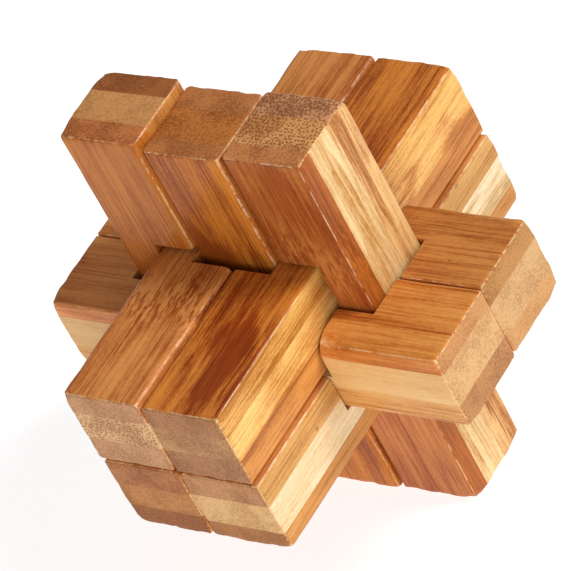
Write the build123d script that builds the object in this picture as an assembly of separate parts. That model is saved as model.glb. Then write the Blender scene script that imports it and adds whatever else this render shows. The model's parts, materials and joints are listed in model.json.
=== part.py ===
from build123d import *
import os

# Nine-bar burr puzzle of glued bamboo, in millimetres, with +Z up.
# Three uprights run along Z, four beams along Y and two crossbars along X.
# The origin is the centre of the base, where the uprights stand on the table.
# Positions below are counted from the middle of the burr, and every finished
# bar is lifted onto the table at the end.  The crossbars reach further out on
# the right, so the middle of the burr lies a little left of the origin.
#
# The bars pass through each other in notches.  The middle upright is the key:
# a plain bar that slides out along Z and sets the others free one by one.

PITCH = 15.0                    # lane width: one bar and the gap beside it
HALF = PITCH / 2
LENGTH = 5 * PITCH              # nominal length of every bar
GAP = 0.2                       # air between two bars that lie side by side
UPRIGHT_DEPTH = 14.4            # the uprights are a little thinner along Y
FEET = 36.7                     # from the middle of the burr down to the table
MIDDLE_X = -0.9                 # where the middle of the burr lies along X
SIDE_ROOM = 0.15                # extra room beside a bar that lies in a notch
TIGHT = 0.15                    # room at the end of a notch where bars meet
LOOSE = 1.2                     # room at the end of a notch with play
KEY_ROOM = 1.5                  # room in front of and behind the key

SOFT_EDGE = 1.2                 # radius of a sanded long edge
CRISP_EDGE = 0.5                # radius of a long edge that stayed sharp
END_EDGE = 0.4                  # radius around the sawn ends

# Hand-made bars differ: how much further out than its lane each face lies.
UPRIGHT_SHIFT = {"left": -0.3, "key": 0.0, "right": 0.4}        # along Y
UPRIGHT_OVER_LENGTH = {"left": 1.6, "key": 0.0, "right": 0.3}   # at the top
UPRIGHT_TOP_ROOM = {"left": 1.2, "right": 0.5}                  # notch over the beams
LEFT_UPRIGHT_OVER_WIDTH = 0.5                                   # at its outer face
UPPER_LEFT_BEAM_OVER_WIDTH = 0.2                                # at its outer face
UPPER_LEFT_BEAM_OVER_HEIGHT = 0.3                               # at its top
LOWER_RIGHT_BEAM_OVER_WIDTH = 0.5                               # at its outer face
LOWER_BEAM_UNDER_HEIGHT = 0.3                                   # short of the lane's bottom
BEAM_REAR = {"upper": 37.1, "lower": 37.0}                      # where the rear ends lie
CROSSBAR_LEFT = 36.7                                            # where the left ends lie
CROSSBAR_OVER_LENGTH = {"front": 1.0, "rear": 0.7}              # at the right end
CROSSBAR_UPRIGHT_ROOM = {"front": 0.35, "rear": 0.8}            # notch beside the right upright
CROSSBAR_LEFT_ROOM = {"front": TIGHT, "rear": LOOSE}            # notch beside the upper left beam
CROSSBAR_RIGHT_ROOM = {"front": 0.5, "rear": 0.3}               # notch beside the upper right beam
CROSSBAR_FLOOR = {"front": 0.25, "rear": 0.4}                   # notch floor behind the uprights
CROSSBAR_NOTCH_EDGE = {"front": 0.45, "rear": 1.1}              # radius of its worn right edge

# Where the two glue lines of each bar lie, as shares of its thickness counted
# from its front face (uprights) or its bottom face (beams and crossbars).
GLUE_LINES = {
    "left_upright": (0.28, 0.70),
    "key_bar": (0.22, 0.67),
    "right_upright": (0.23, 0.66),
    "upper_left_beam": (0.34, 0.71),
    "upper_right_beam": (0.36, 0.70),
    "lower_left_beam": (0.30, 0.64),
    "lower_right_beam": (0.26, 0.68),
    "front_crossbar": (0.33, 0.79),
    "rear_crossbar": (0.27, 0.73),
}

FRONT_TO_REAR = ("front_strip", "core_strip", "rear_strip")
BOTTOM_TO_TOP = ("bottom_strip", "core_strip", "top_strip")


def block(x, y, z):
    """Return a box between three (low, high) spans."""
    spans = (x, y, z)
    size = [high - low for low, high in spans]
    centre = [(high + low) / 2 for low, high in spans]
    return Pos(*centre) * Box(*size)


def lane(low, high):
    """Return the span of a bar between two lane borders, given in pitches."""
    return (low * PITCH + GAP / 2, high * PITCH - GAP / 2)


def rounded_bar(x, y, z, along, crisp=()):
    """Return a bar with rounded edges.

    crisp lists the long edges that stay sharp, each as a point near that edge.
    """
    bar = block(x, y, z)
    sharp = [bar.edges().filter_by(along).sort_by_distance(point)[0] for point in crisp]
    soft = [edge for edge in bar.edges().filter_by(along) if edge not in sharp]
    bar = fillet(soft, SOFT_EDGE)
    if sharp:
        edges = bar.edges().filter_by(along)
        bar = fillet([edges.sort_by_distance(edge.center())[0] for edge in sharp], CRISP_EDGE)
    rims = [edge for face in bar.faces().filter_by(along) for edge in face.edges()]
    return fillet(rims, END_EDGE)


def upright_span(name):
    """Return the Y span of an upright."""
    shift = UPRIGHT_SHIFT[name]
    return (shift - UPRIGHT_DEPTH / 2, shift + UPRIGHT_DEPTH / 2)


def upright_height(name):
    """Return the Z span of an upright, which stands on the table."""
    return (-FEET, LENGTH / 2 + UPRIGHT_OVER_LENGTH[name])


def left_upright():
    outer, inner = lane(-1.5, -0.5)
    width = (outer - LEFT_UPRIGHT_OVER_WIDTH, inner)
    bar = rounded_bar(width, upright_span("left"), upright_height("left"), Axis.Z)
    notch = block(
        (-PITCH - UPPER_LEFT_BEAM_OVER_WIDTH - SIDE_ROOM, 0),
        (-PITCH, PITCH),
        (-PITCH - TIGHT, PITCH + UPRIGHT_TOP_ROOM["left"]),
    )
    return bar - notch


def key_bar():
    return rounded_bar(lane(-0.5, 0.5), upright_span("key"), upright_height("key"), Axis.Z)


def right_upright():
    outer_front = (1.5 * PITCH, -HALF, 0)
    outer_rear = (1.5 * PITCH, HALF, 0)
    bar = rounded_bar(
        lane(0.5, 1.5),
        upright_span("right"),
        upright_height("right"),
        Axis.Z,
        crisp=(outer_front, outer_rear),
    )
    notch = block(
        (0, PITCH + LOWER_RIGHT_BEAM_OVER_WIDTH + SIDE_ROOM),
        (-PITCH, PITCH),
        (-PITCH - TIGHT, PITCH + UPRIGHT_TOP_ROOM["right"]),
    )
    return bar - notch


def key_hole():
    """Return the shaft that the four beams leave open around the key."""
    across = HALF + SIDE_ROOM
    along = HALF + KEY_ROOM
    return block((-across, across), (-along, along), (-LENGTH, LENGTH))


def crossbar_passage():
    """Return the channel that the lower beams leave open for the crossbars."""
    half_height = HALF + SIDE_ROOM
    return block((-LENGTH, LENGTH), (-PITCH - TIGHT, PITCH + LOOSE), (-half_height, half_height))


def upper_beam(x, z, crisp=()):
    """Return an upper beam, which rests in the top notches of the crossbars."""
    bar = rounded_bar(x, (-LENGTH / 2, BEAM_REAR["upper"]), z, Axis.Y, crisp=crisp)
    return bar - key_hole()


def lower_beam(x):
    """Return a lower beam, whose own notch takes the lower half of the crossbars."""
    bottom, top = lane(-1, 0)
    z = (bottom + LOWER_BEAM_UNDER_HEIGHT, top)
    bar = rounded_bar(x, (-LENGTH / 2, BEAM_REAR["lower"]), z, Axis.Y)
    return bar - key_hole() - crossbar_passage()


def worn_notch(bar, wall, radius):
    """Round the outer edges of the notch wall that stands at X = wall."""
    floor = -SIDE_ROOM
    inner = min(abs(edge.center().Y) for edge in bar.edges().filter_by(Axis.X))
    rim = [
        edge
        for edge in bar.edges()
        if all(abs(vertex.X - wall) < 0.01 for vertex in edge.vertices())
        and edge.center().Z > floor + 0.01
        and abs(edge.center().Y) > inner + 0.01
    ]
    return fillet(rim, radius)


def crossbar(name, side):
    """Return a crossbar: side is -1 in front of the uprights' middle, +1 behind it."""
    y_lanes = (-1, 0) if side < 0 else (0, 1)
    ends = (-CROSSBAR_LEFT, LENGTH / 2 + CROSSBAR_OVER_LENGTH[name])
    inner_edge = (0, 0, HALF)
    front_edge = (0, -PITCH, HALF)
    bar = rounded_bar(
        ends,
        lane(*y_lanes),
        (-HALF + GAP / 2, HALF - GAP / 2),
        Axis.X,
        crisp=(inner_edge, front_edge) if side < 0 else (inner_edge,),
    )
    floor = side * (HALF + CROSSBAR_FLOOR[name])
    left_face = 1.5 * PITCH + LEFT_UPRIGHT_OVER_WIDTH
    around_uprights = block(
        (-left_face - LOOSE, 1.5 * PITCH + CROSSBAR_UPRIGHT_ROOM[name]),
        (min(floor, 0), max(floor, 0)),
        (-PITCH, PITCH),
    )
    left_wall = -PITCH - UPPER_LEFT_BEAM_OVER_WIDTH - CROSSBAR_LEFT_ROOM[name]
    right_wall = PITCH + CROSSBAR_RIGHT_ROOM[name]
    under_beams = block((left_wall, right_wall), (-LENGTH, LENGTH), (-SIDE_ROOM, PITCH))
    notched = bar - around_uprights - under_beams
    return worn_notch(notched, right_wall, CROSSBAR_NOTCH_EDGE[name])


def glued_strips(bar, name, across):
    """Cut a bar along its two glue lines and return its three strips, low to high."""
    box = bar.bounding_box()
    low, high = (box.min.Y, box.max.Y) if across == Axis.Y else (box.min.Z, box.max.Z)
    lines = [low + share * (high - low) for share in GLUE_LINES[name]]
    borders = [-LENGTH, *lines, LENGTH]
    strips = []
    for bottom, top in zip(borders, borders[1:]):
        whole = (-LENGTH, LENGTH)
        layer = (bottom, top)
        slab = block(whole, layer, whole) if across == Axis.Y else block(whole, whole, layer)
        strips.append(bar & slab)
    return strips


def export_strips(bar, name, across, strip_names, along, half_names):
    """Write each strip of a bar, and each half of a strip that a notch has cut through."""
    for strip, strip_name in zip(glued_strips(bar, name, across), strip_names):
        solids = Pos(MIDDLE_X, 0, FEET) * strip
        pieces = solids.solids().sort_by(along)
        endings = [""] if len(pieces) == 1 else [f"_{half}" for half in half_names]
        for piece, ending in zip(pieces, endings):
            export_step(piece, f"parts/{name}_{strip_name}{ending}.step")


def main():
    os.makedirs("parts", exist_ok=True)

    uprights = {
        "left_upright": left_upright(),
        "key_bar": key_bar(),
        "right_upright": right_upright(),
    }
    left, middle = lane(-1, 0)
    upper_z = lane(0, 1)
    upper_right_edge = (PITCH, 0, PITCH)
    beams = {
        "upper_left_beam": upper_beam(
            (left - UPPER_LEFT_BEAM_OVER_WIDTH, middle),
            (upper_z[0], upper_z[1] + UPPER_LEFT_BEAM_OVER_HEIGHT),
        ),
        "upper_right_beam": upper_beam(lane(0, 1), upper_z, crisp=(upper_right_edge,)),
        "lower_left_beam": lower_beam((left, middle)),
        "lower_right_beam": lower_beam((-middle, -left + LOWER_RIGHT_BEAM_OVER_WIDTH)),
    }
    crossbars = {
        "front_crossbar": crossbar("front", -1),
        "rear_crossbar": crossbar("rear", 1),
    }

    for name, bar in uprights.items():
        export_strips(bar, name, Axis.Y, FRONT_TO_REAR, Axis.Z, ("lower", "upper"))
    for name, bar in beams.items():
        export_strips(bar, name, Axis.Z, BOTTOM_TO_TOP, Axis.Y, ("front", "rear"))
    for name, bar in crossbars.items():
        export_strips(bar, name, Axis.Z, BOTTOM_TO_TOP, Axis.X, ("left", "right"))


main()
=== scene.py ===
import json
import math

import bmesh
import bpy
from mathutils import Matrix, Vector, noise

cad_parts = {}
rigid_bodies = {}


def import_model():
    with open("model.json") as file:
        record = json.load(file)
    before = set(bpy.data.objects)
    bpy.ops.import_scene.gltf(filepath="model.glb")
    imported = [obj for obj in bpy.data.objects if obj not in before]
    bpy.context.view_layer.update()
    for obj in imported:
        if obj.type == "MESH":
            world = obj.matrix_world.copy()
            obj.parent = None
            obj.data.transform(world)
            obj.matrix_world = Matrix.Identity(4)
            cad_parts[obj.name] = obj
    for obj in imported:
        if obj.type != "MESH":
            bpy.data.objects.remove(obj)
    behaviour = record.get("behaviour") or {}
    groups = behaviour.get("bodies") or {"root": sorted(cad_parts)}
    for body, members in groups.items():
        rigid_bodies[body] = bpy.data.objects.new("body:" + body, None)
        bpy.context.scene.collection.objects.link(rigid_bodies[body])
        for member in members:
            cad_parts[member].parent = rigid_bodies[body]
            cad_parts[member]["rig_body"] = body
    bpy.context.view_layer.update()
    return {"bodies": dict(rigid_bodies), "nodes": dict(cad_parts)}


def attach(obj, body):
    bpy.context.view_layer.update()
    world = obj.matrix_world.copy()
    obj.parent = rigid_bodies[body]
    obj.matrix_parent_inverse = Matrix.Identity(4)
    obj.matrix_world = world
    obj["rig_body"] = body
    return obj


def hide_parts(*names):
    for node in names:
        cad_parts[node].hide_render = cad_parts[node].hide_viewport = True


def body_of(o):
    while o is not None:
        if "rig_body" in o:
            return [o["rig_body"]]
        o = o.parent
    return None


# Looks for a nine-bar burr puzzle of glued bamboo.  Every strip of bamboo is a
# CAD node.  Its material is a solid texture that runs through the strip, so
# that the fibres on the long faces end in dots on the sawn ends.

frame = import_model()

MM = 0.001
CENTRE = Vector((-0.9 * MM, 0.0, 36.7 * MM))      # middle of the burr

# Camera: where it stands, seen from the middle of the burr.
AZIMUTH = 50.81                              # degrees, from the front towards +X
ELEVATION = 38.82
ROLL = -29.22
DISTANCE = 0.7404                            # m
LENS = 302.0                                 # mm on a 36 mm sensor
AIM_OFFSET = Vector((-1.8, 0.2, 1.1)) * MM

# Soft lights: name, azimuth and elevation in degrees, distance and size in m, power in W.
LIGHTS = (
    ("key", 116, 44, 1.2, 0.4, 9.5),
    ("fill", 38, 18, 1.2, 0.8, 5.5),
)
WORLD_LIGHT = 0.24
WHITE = (1, 1, 1, 1)
FLOOR_GREY = (0.55, 0.55, 0.55, 1)
FLOOR_GLOW = 0.76                            # lifts the lit floor to white
FLOOR_REACH = 6.0                            # m, from the middle to each side


def look_direction(azimuth, elevation):
    """Return the unit vector from the burr towards a viewer at these angles."""
    flat = math.cos(math.radians(elevation))
    return Vector((
        flat * math.sin(math.radians(azimuth)),
        -flat * math.cos(math.radians(azimuth)),
        math.sin(math.radians(elevation)),
    ))


def add_camera():
    """Place the camera and roll it about its line of sight."""
    towards = look_direction(AZIMUTH, ELEVATION)
    right = Vector((math.cos(math.radians(AZIMUTH)), math.sin(math.radians(AZIMUTH)), 0))
    up = towards.cross(right)
    turn = Matrix.Rotation(math.radians(ROLL), 3, towards)
    axes = Matrix((turn @ right, turn @ up, towards)).transposed()
    data = bpy.data.cameras.new("camera")
    data.lens = LENS
    data.clip_start = 0.01
    camera = bpy.data.objects.new("camera", data)
    place = CENTRE + AIM_OFFSET + DISTANCE * towards
    camera.matrix_world = Matrix.Translation(place) @ axes.to_4x4()
    bpy.context.scene.collection.objects.link(camera)
    bpy.context.scene.camera = camera


def add_area_light(name, azimuth, elevation, distance, size, power):
    """Add a round soft light that faces the burr."""
    data = bpy.data.lights.new(name, "AREA")
    data.shape = "DISK"
    data.size = size
    data.energy = power
    light = bpy.data.objects.new(name, data)
    towards = look_direction(azimuth, elevation)
    light.location = CENTRE + distance * towards
    light.rotation_euler = towards.to_track_quat("Z", "Y").to_euler()
    bpy.context.scene.collection.objects.link(light)


def add_world(strength):
    """Light the scene evenly and in white from all around."""
    world = bpy.data.worlds.new("studio")
    world.use_nodes = True
    background = world.node_tree.nodes["Background"]
    background.inputs["Color"].default_value = WHITE
    background.inputs["Strength"].default_value = strength
    bpy.context.scene.world = world


def add_floor():
    """Add a wide white floor under the burr."""
    mesh = bpy.data.meshes.new("floor")
    corners = [(x * FLOOR_REACH, y * FLOOR_REACH, 0) for x, y in ((-1, -1), (1, -1), (1, 1), (-1, 1))]
    mesh.from_pydata(corners, [], [(0, 1, 2, 3)])
    floor = bpy.data.objects.new("floor", mesh)
    bpy.context.scene.collection.objects.link(floor)
    material = bpy.data.materials.new("white_floor")
    material.use_nodes = True
    shader = material.node_tree.nodes["Principled BSDF"]
    shader.inputs["Base Color"].default_value = FLOOR_GREY
    shader.inputs["Roughness"].default_value = 0.9
    shader.inputs["Specular IOR Level"].default_value = 0.0
    shader.inputs["Emission Color"].default_value = WHITE
    shader.inputs["Emission Strength"].default_value = FLOOR_GLOW
    mesh.materials.append(material)


class Graph:
    """Adds shader nodes to a tree and returns their output sockets."""

    def __init__(self, tree):
        self.tree = tree

    def node(self, kind, **settings):
        """Add a node of this kind with these settings."""
        node = self.tree.nodes.new("ShaderNode" + kind)
        for name, value in settings.items():
            setattr(node, name, value)
        return node

    def feed(self, socket, value):
        """Link an output to a socket, or set a constant on it."""
        if isinstance(value, bpy.types.NodeSocket):
            self.tree.links.new(value, socket)
        else:
            socket.default_value = value

    def math(self, operation, *values):
        node = self.node("Math", operation=operation)
        for socket, value in zip(node.inputs, values):
            self.feed(socket, value)
        return node.outputs[0]

    def vector(self, operation, *values):
        node = self.node("VectorMath", operation=operation)
        for socket, value in zip(node.inputs, values):
            self.feed(socket, value)
        return node.outputs["Value" if operation == "LENGTH" else "Vector"]

    def scaled(self, vector, factor):
        node = self.node("VectorMath", operation="SCALE")
        self.feed(node.inputs[0], vector)
        self.feed(node.inputs["Scale"], factor)
        return node.outputs["Vector"]

    def split(self, vector):
        node = self.node("SeparateXYZ")
        self.feed(node.inputs[0], vector)
        return node.outputs

    def join(self, *values):
        node = self.node("CombineXYZ")
        for socket, value in zip(node.inputs, values):
            self.feed(socket, value)
        return node.outputs[0]

    def noise(self, vector, detail=2.0, roughness=0.5, output="Fac"):
        node = self.node("TexNoise")
        self.feed(node.inputs["Vector"], vector)
        node.inputs["Scale"].default_value = 1.0
        node.inputs["Detail"].default_value = detail
        node.inputs["Roughness"].default_value = roughness
        return node.outputs[output]

    def cells(self, vector, dimensions="3D", randomness=1.0):
        """Return the distance to the nearest cell centre and that cell's random colour."""
        node = self.node("TexVoronoi", voronoi_dimensions=dimensions)
        self.feed(node.inputs["Vector"], vector)
        node.inputs["Scale"].default_value = 1.0
        node.inputs["Randomness"].default_value = randomness
        return node.outputs["Distance"], node.outputs["Color"]

    def swing(self, value, low, high, weight):
        """Return a smooth step from minus to plus half the weight."""
        step = self.math("SUBTRACT", self.smooth(value, low, high), 0.5)
        return self.math("MULTIPLY", step, weight)

    def total(self, *values):
        """Return the sum of any number of values."""
        result = values[0]
        for value in values[1:]:
            result = self.math("ADD", result, value)
        return result

    def smooth(self, value, low, high):
        """Return 0 below low, 1 above high, and a smooth step between."""
        node = self.node("MapRange", interpolation_type="SMOOTHSTEP")
        self.feed(node.inputs["Value"], value)
        self.feed(node.inputs["From Min"], low)
        self.feed(node.inputs["From Max"], high)
        return node.outputs["Result"]

    def mix(self, factor, first, second):
        node = self.node("Mix", data_type="RGBA")
        self.feed(node.inputs[0], factor)
        self.feed(node.inputs[6], first)
        self.feed(node.inputs[7], second)
        return node.outputs[2]


def linear(colour):
    """Return the linear RGBA of a colour written as hexadecimal sRGB."""
    parts = [int(colour[i:i + 2], 16) / 255 for i in (0, 2, 4)]
    return tuple(p / 12.92 if p <= 0.04045 else ((p + 0.055) / 1.055) ** 2.4 for p in parts) + (1,)


GROUP_INPUTS = (
    ("Grain", "NodeSocketVector"),           # across, through and along the strip, in mm
    ("Facing", "NodeSocketVector"),          # the surface's normal in those directions
    ("Own", "NodeSocketVector"),             # makes one strip's pattern differ from the next
    ("Wide Light", "NodeSocketColor"),       # the strip's wide face
    ("Wide Dark", "NodeSocketColor"),
    ("Side Light", "NodeSocketColor"),       # its narrow face
    ("Side Dark", "NodeSocketColor"),
    ("End Light", "NodeSocketColor"),        # its sawn end
    ("End Dark", "NodeSocketColor"),
    ("Threads", "NodeSocketFloat"),          # fine lines of single fibre bundles
    ("Bands", "NodeSocketFloat"),            # broad lighter and darker stripes
    ("Clouds", "NodeSocketFloat"),           # soft patches of shade
    ("Gleams", "NodeSocketFloat"),           # thin light streaks
    ("Waves", "NodeSocketFloat"),            # how far the fibres wander sideways
    ("Dots", "NodeSocketFloat"),             # how dark the bundles are on the ends
    ("Knot Place", "NodeSocketFloat"),       # along the strip, in mm
    ("Knot", "NodeSocketFloat"),
    # These three give a ragged patch, darker than the rest, or lighter where its strength is
    # negative: the bamboo's own tone on some strips, painted shade on the key bar's front.
    ("Tone And Painted Shade Place", "NodeSocketVector"),     # in mm, like Grain
    ("Tone And Painted Shade Size", "NodeSocketVector"),
    ("Stain", "NodeSocketFloat"),
)

GROUP_OUTPUTS = (
    ("Colour", "NodeSocketColor"),
    ("Roughness", "NodeSocketFloat"),
    ("Height", "NodeSocketFloat"),           # for the bump
)

DARK_FIBRE = linear("5c2408")
PIT = linear("4a2410")
# Pale colour for edges: rubbed wood, and a painted highlight along the rims.
RUBBED_AND_PAINTED_HIGHLIGHT_EDGE = linear("f8d8aa")
KNOT_WOBBLE = 14.0                           # mm that a knot's ragged line strays, both ways together
HALF = (0.5, 0.5, 0.5)
ACROSS_ONLY = (1.0, 1.0, 0.0)


def stretched(g, vector, sideways, lengthways):
    """Return a place on a scale of so many features per mm across and along the fibres."""
    return g.vector("MULTIPLY", vector, (sideways, sideways, lengthways))


def knot_strength(g, given, place):
    """Return where a knot shows, which is where the cane had a joint."""
    wobble = g.math("SUBTRACT", g.noise(stretched(g, place, 0.25, 0.1)), 0.5)
    wobble = g.math("MULTIPLY", wobble, KNOT_WOBBLE)
    reach = g.math("SUBTRACT", g.split(given["Grain"])[2], given["Knot Place"])
    reach = g.math("ABSOLUTE", g.math("ADD", reach, wobble))
    knot = g.math("SUBTRACT", 1.0, g.smooth(reach, 1.0, 7.5))
    return g.math("MULTIPLY", knot, given["Knot"])


def wandering(g, given, place, knot):
    """Return the place with the fibres' sideways drift, and their swirl at a knot."""
    drift = g.noise(stretched(g, place, 0.22, 0.035), 2.0, output="Color")
    drift = g.scaled(g.vector("SUBTRACT", drift, HALF), g.math("ADD", 0.8, given["Waves"]))
    swirl = g.noise(stretched(g, place, 0.7, 0.45), 1.0, output="Color")
    swirl = g.scaled(g.vector("SUBTRACT", swirl, HALF), g.math("MULTIPLY", knot, 1.2))
    drift = g.vector("ADD", drift, swirl)
    return g.vector("ADD", place, g.vector("MULTIPLY", drift, ACROSS_ONLY))


def thread_lines(g, grain):
    """Return the lines of single fibre bundles, some of which fade in and out."""
    bundle, tint = g.cells(g.vector("MULTIPLY", grain, (1.25, 1.25, 0.0)), "2D")
    thread = g.math("SUBTRACT", 1.0, g.smooth(bundle, 0.08, 0.32))
    thread = g.math("MULTIPLY", thread, g.smooth(g.split(tint)[0], 0.1, 0.8))
    fading = g.smooth(g.noise(stretched(g, grain, 1.4, 0.09)), 0.36, 0.6)
    return g.math("MULTIPLY", thread, fading)


def tone_and_painted_shade_strength(g, given, grain):
    """Return a ragged patch, positive where it darkens the strip; on some strips it is the bamboo's
    own tone, on one it is painted shade.
    """
    off = g.vector("SUBTRACT", given["Grain"], given["Tone And Painted Shade Place"])
    off = g.vector("LENGTH", g.vector("DIVIDE", off, given["Tone And Painted Shade Size"]))
    ragged = g.swing(g.noise(stretched(g, grain, 0.8, 0.14), 3.0), 0.3, 0.7, 0.8)
    stain = g.smooth(g.math("ADD", off, ragged), 0.45, 1.3)
    return g.math("MULTIPLY", g.math("SUBTRACT", 1.0, stain), given["Stain"])


def long_face_shade(g, given, place, grain, knot, fibres):
    """Add up, around one half, everything that darkens a long face."""
    bands = g.swing(g.noise(stretched(g, grain, 0.42, 0.02), 2.0, 0.5), 0.36, 0.64, 0.8)
    clouds = g.swing(g.noise(stretched(g, place, 0.15, 0.065), 3.0, 0.55), 0.32, 0.68, 1.0)
    dashes = g.swing(g.noise(stretched(g, grain, 1.7, 0.34), 2.0, 0.5), 0.42, 0.62, 0.9)
    fine = g.total(
        g.swing(fibres["hairs"], 0.34, 0.66, 0.34),
        g.swing(fibres["lines"], 0.36, 0.64, 0.42),
        g.math("MULTIPLY", fibres["thread"], 0.5),
    )
    return g.total(
        g.math("ADD", 0.5, g.math("MULTIPLY", fine, given["Threads"])),
        g.math("MULTIPLY", bands, given["Bands"]),
        g.math("MULTIPLY", clouds, given["Clouds"]),
        g.swing(fibres["mottle"], 0.3, 0.7, 0.24),
        g.math("MULTIPLY", knot, dashes),
        tone_and_painted_shade_strength(g, given, grain),
    )


def long_face_colour(g, given, through, grain, shade, hairs):
    """Return the colour of the wide faces and the narrow sides of a strip."""
    wide = g.smooth(through, 0.55, 0.85)
    light = g.mix(wide, given["Side Light"], given["Wide Light"])
    dark = g.mix(wide, given["Side Dark"], given["Wide Dark"])
    colour = g.mix(g.smooth(shade, -0.15, 1.15), light, dark)
    gleam = g.smooth(g.noise(stretched(g, grain, 2.1, 0.05), 1.0), 0.62, 0.72)
    colour = g.mix(g.math("MULTIPLY", gleam, given["Gleams"]), colour, light)
    in_dark = g.math("MULTIPLY", g.smooth(hairs, 0.42, 0.62), g.smooth(shade, 0.75, 1.25))
    return g.mix(g.math("MULTIPLY", in_dark, 0.45), colour, DARK_FIBRE)


def pit_strength(g, place):
    """Return small flecks, drawn out along the fibres."""
    pit, tint = g.cells(stretched(g, place, 0.22, 0.13))
    pit = g.math("SUBTRACT", 1.0, g.smooth(pit, 0.03, 0.08))
    return g.math("MULTIPLY", pit, g.smooth(g.split(tint)[0], 0.62, 0.7))


def sawn_end(g, given, place):
    """Return a sawn end's colour and height: dots where bundles are cut, in fine speckle."""
    speckle = g.noise(stretched(g, place, 2.5, 2.5), 3.0, 0.65)
    blotch = g.noise(stretched(g, place, 0.2, 0.2), 2.0, 0.5)
    dot, tint = g.cells(g.vector("MULTIPLY", place, (1.55, 1.55, 0.0)), "2D", 0.7)
    dot = g.math("SUBTRACT", 1.0, g.smooth(dot, 0.14, 0.40))
    dot = g.math("MULTIPLY", dot, g.smooth(g.split(tint)[1], -0.3, 0.5))
    shade = g.total(
        g.math("ADD", 0.45, g.swing(speckle, 0.34, 0.66, 0.65)),
        g.swing(blotch, 0.34, 0.66, 0.5),
        g.math("MULTIPLY", dot, given["Dots"]),
    )
    colour = g.mix(g.smooth(shade, -0.1, 1.2), given["End Light"], given["End Dark"])
    return colour, g.math("SUBTRACT", speckle, g.math("MULTIPLY", dot, 0.5))


def rubbed_and_painted_highlight_edge(g, place, facing):
    """Return where an edge, which faces between two faces, turns pale: partly rubbed wood, partly a
    painted highlight along the rims.
    """
    across, through, along = facing
    largest = g.math("MAXIMUM", g.math("MAXIMUM", across, through), along)
    rubbed_and_painted_highlight = g.smooth(g.noise(stretched(g, place, 1.1, 0.5), 3.0, 0.65), 0.40, 0.62)
    return g.math("MULTIPLY", rubbed_and_painted_highlight, g.math("SUBTRACT", 1.0, g.smooth(largest, 0.73, 0.86)))


def bamboo_group():
    """Build the node group that every strip's material uses."""
    tree = bpy.data.node_groups.new("bamboo", "ShaderNodeTree")
    for direction, sockets in (("INPUT", GROUP_INPUTS), ("OUTPUT", GROUP_OUTPUTS)):
        for name, kind in sockets:
            tree.interface.new_socket(name, in_out=direction, socket_type=kind)
    g = Graph(tree)
    given = tree.nodes.new("NodeGroupInput").outputs
    result = tree.nodes.new("NodeGroupOutput").inputs

    place = g.vector("ADD", given["Grain"], given["Own"])
    facing = [g.math("ABSOLUTE", part) for part in g.split(given["Facing"])]
    knot = knot_strength(g, given, place)
    grain = wandering(g, given, place, knot)
    fibres = {
        "hairs": g.noise(stretched(g, grain, 5.5, 0.14), 3.0, 0.6),
        "lines": g.noise(stretched(g, grain, 2.4, 0.04), 2.0, 0.5),
        "mottle": g.noise(stretched(g, place, 2.6, 1.3), 2.0, 0.6),
        "thread": thread_lines(g, grain),
    }
    pit = pit_strength(g, place)
    rim = g.swing(g.noise(stretched(g, place, 2.2, 1.2), 2.0), 0.3, 0.7, 0.3)
    end = g.smooth(g.math("ADD", facing[2], rim), 0.55, 0.8)
    end_colour, end_height = sawn_end(g, given, place)

    shade = long_face_shade(g, given, place, grain, knot, fibres)
    colour = long_face_colour(g, given, facing[1], grain, shade, fibres["hairs"])
    colour = g.mix(g.math("MULTIPLY", pit, 0.75), colour, PIT)
    colour = g.mix(end, colour, end_colour)
    # Edges are mixed towards a pale colour: partly rubbed wood, partly painted highlight.
    rubbed_and_painted_highlight = g.math("MULTIPLY", rubbed_and_painted_highlight_edge(g, place, facing), 0.6)
    g.feed(result["Colour"], g.mix(rubbed_and_painted_highlight, colour, RUBBED_AND_PAINTED_HIGHLIGHT_EDGE))

    rough = g.math("ADD", 0.36, g.math("MULTIPLY", fibres["lines"], 0.16))
    g.feed(result["Roughness"], g.math("ADD", rough, g.math("MULTIPLY", end, 0.12)))

    height = g.total(
        g.math("MULTIPLY", fibres["hairs"], 0.5),
        g.math("MULTIPLY", fibres["mottle"], 0.5),
        g.math("MULTIPLY", fibres["thread"], -0.4),
    )
    height = g.total(
        g.math("MULTIPLY", height, g.math("SUBTRACT", 1.0, end)),
        g.math("MULTIPLY", end_height, end),
    )
    g.feed(result["Height"], g.math("SUBTRACT", height, g.math("MULTIPLY", pit, 1.5)))
    return tree


# Directions of each kind of bar: across its strips, through them and along them.
DIRECTIONS = {
    "upright": "XYZ",
    "key_bar": "XYZ",
    "beam": "XZY",
    "crossbar": "YZX",
}

NO_KNOT = (0.0, 0.0)                         # place along the strip in mm, strength
NO_TONE_AND_PAINTED_SHADE = ((0, 0, 0), (1, 1, 1), 0.0)       # place and size in mm, strength; negative is light

# Each face has a light and a dark colour, between which its grain plays.
OUTER = {
    "wide": ("d88e4a", "a85a22"), "side": ("d8964e", "b0662c"), "end": ("c4865a", "8f5632"),
    "threads": 1.0, "bands": 0.5, "clouds": 0.5, "gleams": 0.3, "waves": 0.0, "dots": 0.25,
    "knot": NO_KNOT, "stain": NO_TONE_AND_PAINTED_SHADE,
}
CORE = {
    "wide": ("ecc68e", "cf9a5a"), "side": ("ecc890", "cf9c5c"), "end": ("deb083", "b07e52"),
    "threads": 0.8, "bands": 0.4, "clouds": 0.4, "gleams": 0.2, "waves": 0.6, "dots": 0.2,
    "knot": NO_KNOT, "stain": NO_TONE_AND_PAINTED_SHADE,
}

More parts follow.
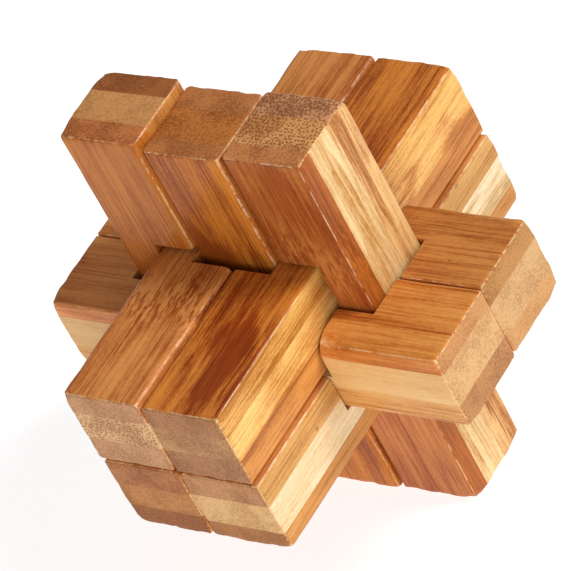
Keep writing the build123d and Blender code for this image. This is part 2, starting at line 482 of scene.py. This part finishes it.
# What sets single strips apart from those two.
STRIPS = {
    "left_upright_front": {"wide": ("cc7e32", "a65412"), "end": ("cf8048", "9a5228")},
    "left_upright_core": {"side": ("dc9850", "b87434"), "end": ("dc9c60", "b07840")},
    "left_upright_rear": {"end": ("b06a3a", "844820")},
    # Its front is darkened where it goes down into the hollow of the upper beams: partly painted
    # shade, partly a sooty colour of its own.
    "key_bar_front": {"wide": ("d8842e", "9c4c16"), "end": ("c88046", "9c582c"), "bands": 0.5,
                      "stain": ((-2.5, -7.2, 51.0), (6.0, 4.0, 8.0), 0.55)},
    "key_bar_core": {"end": ("c87a3a", "8a4616")},
    "key_bar_rear": {"end": ("c98048", "9c5a2c")},
    "right_upright_front": {"wide": ("cc803e", "a65220"), "side": ("b46424", "8c4412"),
                            "end": ("d48a50", "9a5a30"), "knot": (53.0, 0.8),
                            "stain": ((13.5, -7.0, 58.0), (14.0, 8.0, 20.0), 0.2)},
    # A little lighter near the floor on its +X side.
    "right_upright_core": {"side": ("ecce98", "c2863e"), "end": ("e8a868", "985828"),
                           "waves": 2.5, "dots": 0.9, "bands": 0.8,
                           "stain": ((21.6, 0.0, 6.0), (9.0, 9.0, 18.0), -0.1)},
    "right_upright_rear": {"side": ("e6b878", "b06c30"), "end": ("e0a070", "8c5430"),
                           "waves": 1.5, "dots": 0.7, "bands": 0.8},
    "upper_left_beam_top": {"wide": ("e89c54", "ae5a20"), "end": ("d0996c", "a87448"),
                            "bands": 0.5, "knot": (-18.0, 1.0)},
    "upper_left_beam_core": {"end": ("e6b684", "a26c3e"), "dots": 0.8},
    "upper_left_beam_bottom": {"end": ("d0996c", "a87448")},
    "upper_right_beam_top": {"wide": ("e48e38", "9a4010"), "side": ("eeba66", "bc7830"),
                             "end": ("b87e50", "8c5630"), "bands": 0.45, "gleams": 0.2,
                             "stain": ((9.0, 51.6, -26.0), (6.0, 4.0, 8.5), 0.6)},
    # Its side is darker towards the rear end.
    "upper_right_beam_core": {"side": ("f4c876", "c87e34"), "end": ("c6925e", "98643a"),
                              "bands": 0.7, "clouds": 0.8, "gleams": 0.6,
                              "stain": ((14.1, 44.0, 27.0), (9.0, 9.0, 14.0), 0.4)},
    "upper_right_beam_bottom": {"side": ("d89248", "ae662a"), "end": ("b47c50", "8c5430"),
                                "clouds": 0.7},
    "lower_left_beam_top": {"end": ("ba7844", "925226")},
    "lower_left_beam_core": {"end": ("c68448", "9c5e26")},
    "lower_left_beam_bottom": {"end": ("ac6832", "844a1a")},
    "lower_right_beam_top": {"side": ("d8a662", "ba7e3a"), "end": ("c88e5c", "a2693c")},
    # Its side is darker towards the rear end.
    "lower_right_beam_core": {"side": ("f6e4c0", "dcb47a"), "end": ("e6b67a", "c08c50"),
                              "threads": 0.45, "bands": 0.3,
                              "stain": ((14.1, 22.0, 26.0), (9.0, 9.0, 15.0), 0.7)},
    "lower_right_beam_bottom": {"side": ("d69850", "b67432"), "end": ("ba7a42", "945a28")},
    "front_crossbar_top": {"wide": ("e69c4e", "c06824"), "side": ("e0924a", "c66e28"),
                           "end": ("c88e56", "a46a38"), "dots": -0.3},
    # The left part of the top strip is the same bamboo as the rest, coloured lighter to lift the
    # shadow that the left upright casts on it: painted light.
    "front_crossbar_top_strip_left": {"wide": ("f2a45c", "cc763a"), "threads": 0.7},
    "front_crossbar_core": {"side": ("f0c688", "dea866"), "end": ("d6a872", "b48250"),
                            "threads": 0.6, "bands": 0.3, "dots": -0.3},
    "front_crossbar_bottom": {"side": ("e8ae68", "cc8844"), "end": ("bc8450", "9a643a")},
    "rear_crossbar_top": {"wide": ("d48c46", "a65822"), "end": ("ba844a", "98622e"), "dots": -0.3},
    "rear_crossbar_core": {"end": ("d0a470", "b07e4c"), "dots": -0.3},
    "rear_crossbar_bottom": {"end": ("cf9a60", "b07a44"), "dots": -0.3},
}

PATTERN_STEP = Vector((17.3, 41.9, 29.7))    # mm between the patterns of two strips
BUMP_DEPTH = 0.06                            # mm


def look_of(node):
    """Return the look of one strip; its sides match its wide face if nothing else is said."""
    look = dict(CORE if "_core_strip" in node else OUTER)
    for start, changes in STRIPS.items():
        if node.startswith(start):
            look["side"] = changes.get("wide", look["side"])
            look.update(changes)
    return look


def describe(strip, look, seed):
    """Set one strip's own values on the inputs of its group."""
    strip.inputs["Own"].default_value = PATTERN_STEP * seed
    for face in ("Wide", "Side", "End"):
        for shade, colour in zip(("Light", "Dark"), look[face.lower()]):
            strip.inputs[f"{face} {shade}"].default_value = linear(colour)
    for name in ("Threads", "Bands", "Clouds", "Gleams", "Waves", "Dots"):
        strip.inputs[name].default_value = look[name.lower()]
    for name, value in zip(("Knot Place", "Knot"), look["knot"]):
        strip.inputs[name].default_value = value
    for name, value in zip(("Tone And Painted Shade Place", "Tone And Painted Shade Size", "Stain"), look["stain"]):
        strip.inputs[name].default_value = value


def bamboo(node, group, seed):
    """Build the material of one strip."""
    material = bpy.data.materials.new("bamboo_" + node)
    material.use_nodes = True
    g = Graph(material.node_tree)
    shader = material.node_tree.nodes["Principled BSDF"]
    source = g.node("TexCoord").outputs
    axes = next(order for kind, order in DIRECTIONS.items() if kind in node)
    strip = g.node("Group", node_tree=group)
    for name, vector in (("Grain", g.scaled(source["Object"], 1 / MM)), ("Facing", source["Normal"])):
        parts = g.split(vector)
        g.feed(strip.inputs[name], g.join(*(parts[axis] for axis in axes)))
    describe(strip, look_of(node), seed)
    bump = g.node("Bump")
    bump.inputs["Strength"].default_value = 0.5
    bump.inputs["Distance"].default_value = BUMP_DEPTH * MM
    g.feed(bump.inputs["Height"], strip.outputs["Height"])
    g.feed(shader.inputs["Base Color"], strip.outputs["Colour"])
    g.feed(shader.inputs["Roughness"], strip.outputs["Roughness"])
    g.feed(shader.inputs["Normal"], bump.outputs["Normal"])
    shader.inputs["Specular IOR Level"].default_value = 0.16
    shader.inputs["Coat Weight"].default_value = 0.12
    shader.inputs["Coat Roughness"].default_value = 0.15
    return material


# Wear: each strip is shown as a copy whose bar has lost a little wood along its edges.
ALONG = {"upright": 2, "key_bar": 2, "beam": 1, "crossbar": 0}
TOUCHING = {2: (0,), 1: (0, 2), 0: (1,)}     # axes along which a bar touches its neighbours
SHELTERED = 9.0             # mm from the middle, within which such a side is sheltered
WHOLE = 99.0                # mm, past the end of any bar
# Up to this place along these bars, in mm, all long edges are as crisp as sheltered ones.
CRISP_UP_TO = {"right_upright": WHOLE, "upper_right_beam": 0.0, "front_crossbar": WHOLE}
CRISP_EDGE = (0.6, 0.25, 0.15)      # mm, radius and how far slow waves and short chips change it
WORN_EDGE = (1.2, 0.6, 0.25)
RIM = 0.65                  # mm, radius of an end's rim
RIM_CHIPS = 0.4             # mm, how far chips change it
RIM_CORNER = 1.3            # mm, how much rounder it is at a bar's corner
LEAST_RIM = 0.3             # mm, its smallest radius
CORNER_REACH = 4.0          # mm from a bar's corner, over which the extra roundness fades
END_DEPTH = 2.0             # mm from the front crossbar's ends, where the wear of their rims stops
FINE_CUT = 0.8              # mm between cuts across a bar
LONG_CUT = 2.5              # mm between cuts along it
END_CUTS = (0.25, 0.6, 1.1, 1.8)
NOTCH_WALL = 14.6           # mm, where the front crossbar's notch opens on the right
NOTCH_WEAR = 5.0            # mm, radius to which its corner is worn there
NOTCH_REACH = 9.0           # mm, over which that wear fades
NOTCH_LIP = 0.9             # mm, radius of the rim between the corner and the notch's wall
SHARP_ANGLE = 38            # degrees
ON_PLANE = 0.01             # mm within which a corner counts as lying on a cut


def bar_of(node):
    """Return the name of the bar that a strip belongs to."""
    return body_of(frame["nodes"][node])[0]


def box_of(bar):
    """Return the lowest and highest corner of a bar, in mm."""
    corners = [
        node.matrix_world @ Vector(corner) / MM
        for name, node in frame["nodes"].items()
        for corner in node.bound_box
        if bar_of(name) == bar
    ]
    low = Vector([min(corner[axis] for corner in corners) for axis in range(3)])
    high = Vector([max(corner[axis] for corner in corners) for axis in range(3)])
    return low, high


def rounded(first, second, radius):
    """Pull a point, given by its depths below two faces, in behind a round edge."""
    across, down = radius - first, radius - second
    distance = math.hypot(across, down)
    if across <= 0 or down <= 0 or distance <= radius:
        return first, second
    return radius - across * radius / distance, radius - down * radius / distance


def edge_radius(bar, edge, run, sheltered):
    """Return how round a bar's long edge is at one place along it."""
    crisp = sheltered or run < CRISP_UP_TO.get(bar, -WHOLE)
    radius, waves, chips = CRISP_EDGE if crisp else WORN_EDGE
    radius += waves * noise.noise(edge + Vector((run * 0.13, 0, 0)))
    return radius + chips * noise.noise(edge + Vector((run * 0.8, 5, 0)))


def rim_radius(place, far, seed, side, corner):
    """Return how round an end's rim is; corner is 1 at a bar's corner and 0 away from it."""
    chips = noise.noise(Vector((place * 0.45, far, seed * 3.1 + side)))
    chips += 0.5 * noise.noise(Vector((place * 1.5, far, seed + side)))
    return max(LEAST_RIM, RIM + RIM_CHIPS * chips + RIM_CORNER * corner * corner)


def worn_notch(point, depth, radius):
    """Return the point and the edge's radius at the round corner of the crossbar's notch."""
    past = (point.x - NOTCH_WALL) / NOTCH_REACH
    fade = 1 - past * past * (3 - 2 * past)
    lip, depth[2] = rounded(max(point.x - NOTCH_WALL, 0), depth[2], NOTCH_LIP)
    point = Vector((max(point.x, NOTCH_WALL + lip), point.y, point.z))
    return point, max(radius, NOTCH_WEAR * min(fade, 1))


def worn(point, low, high, along, bar, seed):
    """Return where wear leaves a point of a bar."""
    nearer_low = [point[axis] - low[axis] < high[axis] - point[axis] for axis in range(3)]
    depth = [min(point[axis] - low[axis], high[axis] - point[axis]) for axis in range(3)]
    sides = [low[axis] if nearer_low[axis] else high[axis] for axis in range(3)]
    sheltered = any(abs(sides[i] - CENTRE[i] / MM) < SHELTERED for i in TOUCHING[along])
    first, second = (axis for axis in range(3) if axis != along)

    edge = Vector((nearer_low[first], nearer_low[second], seed)) * 7.7
    radius = edge_radius(bar, edge, point[along], sheltered)
    past_notch = (point[along] - NOTCH_WALL) / NOTCH_REACH
    front_top = nearer_low[1] and not nearer_low[2]
    if bar == "front_crossbar" and front_top and -0.1 < past_notch < 1:
        point, radius = worn_notch(point, depth, radius)
    depth[first], depth[second] = rounded(depth[first], depth[second], radius)

    for side, other in ((first, second), (second, first)):
        corner = 0.0 if sheltered else max(0.0, 1.0 - depth[other] / CORNER_REACH)
        radius = rim_radius(point[other], nearer_low[along], seed, side, corner)
        depth[along], depth[side] = rounded(depth[along], depth[side], radius)

    result = Vector(point)
    for axis in range(3):
        # Away from its ends the front crossbar keeps the x that the notch's wear gave it.
        if axis == 0 and bar == "front_crossbar" and depth[0] > END_DEPTH:
            continue
        result[axis] = low[axis] + depth[axis] if nearer_low[axis] else high[axis] - depth[axis]
    return result


def cut(mesh_data, low, high, along):
    """Cut a strip's faces into a grid fine enough to show wear."""
    for axis in range(3):
        step = LONG_CUT if axis == along else FINE_CUT
        count = int((high[axis] - low[axis]) / step)
        places = {low[axis] + (high[axis] - low[axis]) * i / count for i in range(1, count)}
        if axis == along:
            places |= {low[axis] + depth for depth in END_CUTS}
            places |= {high[axis] - depth for depth in END_CUTS}
        normal = Vector([float(i == axis) for i in range(3)])
        for place in sorted(places):
            bmesh.ops.bisect_plane(
                mesh_data,
                geom=mesh_data.verts[:] + mesh_data.edges[:] + mesh_data.faces[:],
                dist=ON_PLANE * MM,
                plane_co=normal * place * MM,
                plane_no=normal,
            )


def worn_copy(name, node, seed):
    """Return the piece that is shown for one strip."""
    bar = bar_of(name)
    low, high = box_of(bar)
    along = next(axis for kind, axis in ALONG.items() if kind in name)
    mesh = node.data.copy()
    mesh.transform(node.matrix_world)
    data = bmesh.new()
    data.from_mesh(mesh)
    cut(data, low, high, along)
    for vertex in data.verts:
        vertex.co = worn(vertex.co / MM, low, high, along, bar, seed) * MM
    data.to_mesh(mesh)
    data.free()
    mesh.shade_smooth()
    mesh.set_sharp_from_angle(angle=math.radians(SHARP_ANGLE))
    piece = bpy.data.objects.new("worn_" + name, mesh)
    bpy.context.scene.collection.objects.link(piece)
    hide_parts(name)
    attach(piece, bar)
    return piece


def dress_strips():
    """Show every strip as its worn copy in a bamboo of its own."""
    group = bamboo_group()
    bars = sorted(frame["bodies"])
    for seed, name in enumerate(sorted(frame["nodes"]), 1):
        piece = worn_copy(name, frame["nodes"][name], bars.index(bar_of(name)))
        piece.data.materials.clear()
        piece.data.materials.append(bamboo(name, group, seed))


bpy.context.scene.view_settings.view_transform = "Standard"
add_camera()
add_world(WORLD_LIGHT)
for light in LIGHTS:
    add_area_light(*light)
add_floor()
dress_strips()
